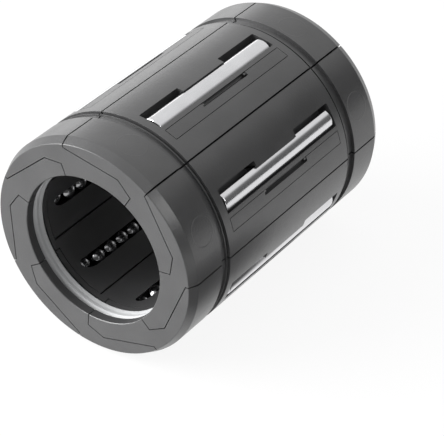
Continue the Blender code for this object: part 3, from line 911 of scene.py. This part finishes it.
stage = {
    "floorSize": 3.0,
    "floorGrey": 0.85,
    "floorRoughness": 0.9,
    "floorGlow": 0.9,                     # share of plain white in what the camera sees
    # mirror rays meet a white floor, with a painted shadow at the right front that only they see
    "paintedShadowPlace": (130.0 * mm, -20.0 * mm),
    "paintedShadowReach": (62.0 * mm, 90.0 * mm),
    "paintedShadowGlow": 0.08,
    "skySlope": (-0.75, 0.25, 1.0),       # the dome is bright to the left and overhead
    "skyStops": [(0.0, 0.08), (0.50, 0.14), (0.61, 0.19), (0.71, 0.85), (1.0, 0.9)],
}


def makeFloor():
    bm = bmesh.new()
    bmesh.ops.create_grid(bm, x_segments=1, y_segments=1, size=stage["floorSize"] / 2.0)
    bmesh.ops.translate(bm, verts=bm.verts, vec=(0.0, 0.0, cadLow.z))
    floorPiece = newPiece("floor", bm)
    material, nodes, links, shader = newMaterial("paleFloor")
    grey = stage["floorGrey"]
    shader.inputs["Base Color"].default_value = (grey, grey, grey, 1.0)
    shader.inputs["Roughness"].default_value = stage["floorRoughness"]
    glow = nodes.new("ShaderNodeEmission")
    path = nodes.new("ShaderNodeLightPath")
    split = nodes.new("ShaderNodeSeparateXYZ")
    links.new(nodes.new("ShaderNodeTexCoord").outputs["Object"], split.inputs["Vector"])
    away = [calculate(nodes, links, "SUBTRACT", split.outputs[axis], stage["paintedShadowPlace"][axis])
            for axis in (0, 1)]
    squares = [calculate(nodes, links, "POWER", length, 2.0) for length in away]
    # painted shadow: mirror rays see the floor's white glow dimmed round this place
    reach = nodes.new("ShaderNodeMapRange")
    reach.interpolation_type = "SMOOTHSTEP"
    reach.inputs["From Min"].default_value, reach.inputs["From Max"].default_value = stage["paintedShadowReach"]
    reach.inputs["To Min"].default_value = stage["paintedShadowGlow"]
    links.new(calculate(nodes, links, "SQRT", calculate(nodes, links, "ADD", *squares)),
              reach.inputs["Value"])
    camera, glossy = path.outputs["Is Camera Ray"], path.outputs["Is Glossy Ray"]
    mirrored = calculate(nodes, links, "MULTIPLY", glossy, reach.outputs["Result"])
    links.new(calculate(nodes, links, "MAXIMUM", camera, mirrored), glow.inputs["Strength"])
    seen = calculate(nodes, links, "MULTIPLY", camera, stage["floorGlow"])
    share = calculate(nodes, links, "MAXIMUM", seen, glossy)
    mix = nodes.new("ShaderNodeMixShader")
    links.new(share, mix.inputs["Fac"])
    links.new(shader.outputs[0], mix.inputs[1])
    links.new(glow.outputs[0], mix.inputs[2])
    links.new(mix.outputs[0], nodes["Material Output"].inputs["Surface"])
    floorPiece.data.materials.append(material)


def makeWorld():
    # a soft dome, dim to the right, and plain white where the camera looks
    world = bpy.data.worlds.new("studio")
    bpy.context.scene.world = world
    world.use_nodes = True
    nodes, links = world.node_tree.nodes, world.node_tree.links
    background = nodes["Background"]
    background.inputs["Color"].default_value = (1.0, 1.0, 1.0, 1.0)
    coords = nodes.new("ShaderNodeTexCoord")
    slope = nodes.new("ShaderNodeVectorMath")
    slope.operation = "DOT_PRODUCT"
    slope.inputs[1].default_value = stage["skySlope"]
    links.new(coords.outputs["Generated"], slope.inputs[0])
    height = nodes.new("ShaderNodeMapRange")
    height.inputs["From Min"].default_value = -1.0
    links.new(slope.outputs["Value"], height.inputs["Value"])
    sky = rampOf(nodes, links, height.outputs["Result"],
                 [(place, (level, level, level)) for place, level in stage["skyStops"]])
    path = nodes.new("ShaderNodeLightPath")
    mix = nodes.new("ShaderNodeMix")
    mix.data_type = "RGBA"
    links.new(path.outputs["Is Camera Ray"], mix.inputs["Factor"])
    links.new(sky, mix.inputs["A"])
    mix.inputs["B"].default_value = (1.0, 1.0, 1.0, 1.0)
    links.new(mix.outputs["Result"], background.inputs["Color"])


lamps = [
    # name, place from the bearing's centre, size, watts
    ("keyLamp", (-0.75, -0.64, 0.36), 1.0, 31.0),
    ("backLamp", (-0.82, 0.75, 0.10), 0.5, 0.8),
    ("rightLamp", (0.75, -0.15, 0.60), 0.4, 1.6),
]


def makeLamps():
    for name, place, size, watts in lamps:
        light = bpy.data.lights.new(name, "AREA")
        light.shape = "SQUARE"
        light.size = size
        light.energy = watts
        lamp = bpy.data.objects.new(name, light)
        bpy.context.scene.collection.objects.link(lamp)
        lamp.location = place
        lamp.rotation_euler = (-Vector(place)).to_track_quat("-Z", "Y").to_euler()


view = {
    "azimuth": radians(35.07),
    "elevation": radians(35.293),
    "roll": radians(0.217),
    "sensorWidth": 36.0,
    "lens": 161.4,
    "clip": (0.01, 20.0),
    "distance": 718.74 * mm,              # to the centre of the front face, along the view
    "faceRight": -47.01 * mm,             # where that centre lies from the picture's middle
    "faceUp": -11.93 * mm,
}


def makeCamera():
    azimuth, elevation = view["azimuth"], view["elevation"]
    forward = Vector((-sin(azimuth) * cos(elevation), cos(azimuth) * cos(elevation), -sin(elevation)))
    right = Vector((cos(azimuth), sin(azimuth), 0.0))
    up = right.cross(forward)
    level, tilt = cos(view["roll"]), sin(view["roll"])
    right, up = right * level + up * tilt, up * level - right * tilt
    face = Vector((0.0, -halfLength, 0.0))
    data = bpy.data.cameras.new("camera")
    data.sensor_width = view["sensorWidth"]
    data.lens = view["lens"]
    data.clip_start, data.clip_end = view["clip"]
    camera = bpy.data.objects.new("camera", data)
    bpy.context.scene.collection.objects.link(camera)
    turn = Matrix((right, up, -forward)).transposed().to_4x4()
    place = face - right * view["faceRight"] - up * view["faceUp"] - forward * view["distance"]
    camera.matrix_world = Matrix.Translation(place) @ turn
    bpy.context.scene.camera = camera


makeFloor()
makeWorld()
makeLamps()
makeCamera()
bpy.context.scene.view_settings.view_transform = "Standard"
print("stage, lamps and camera")
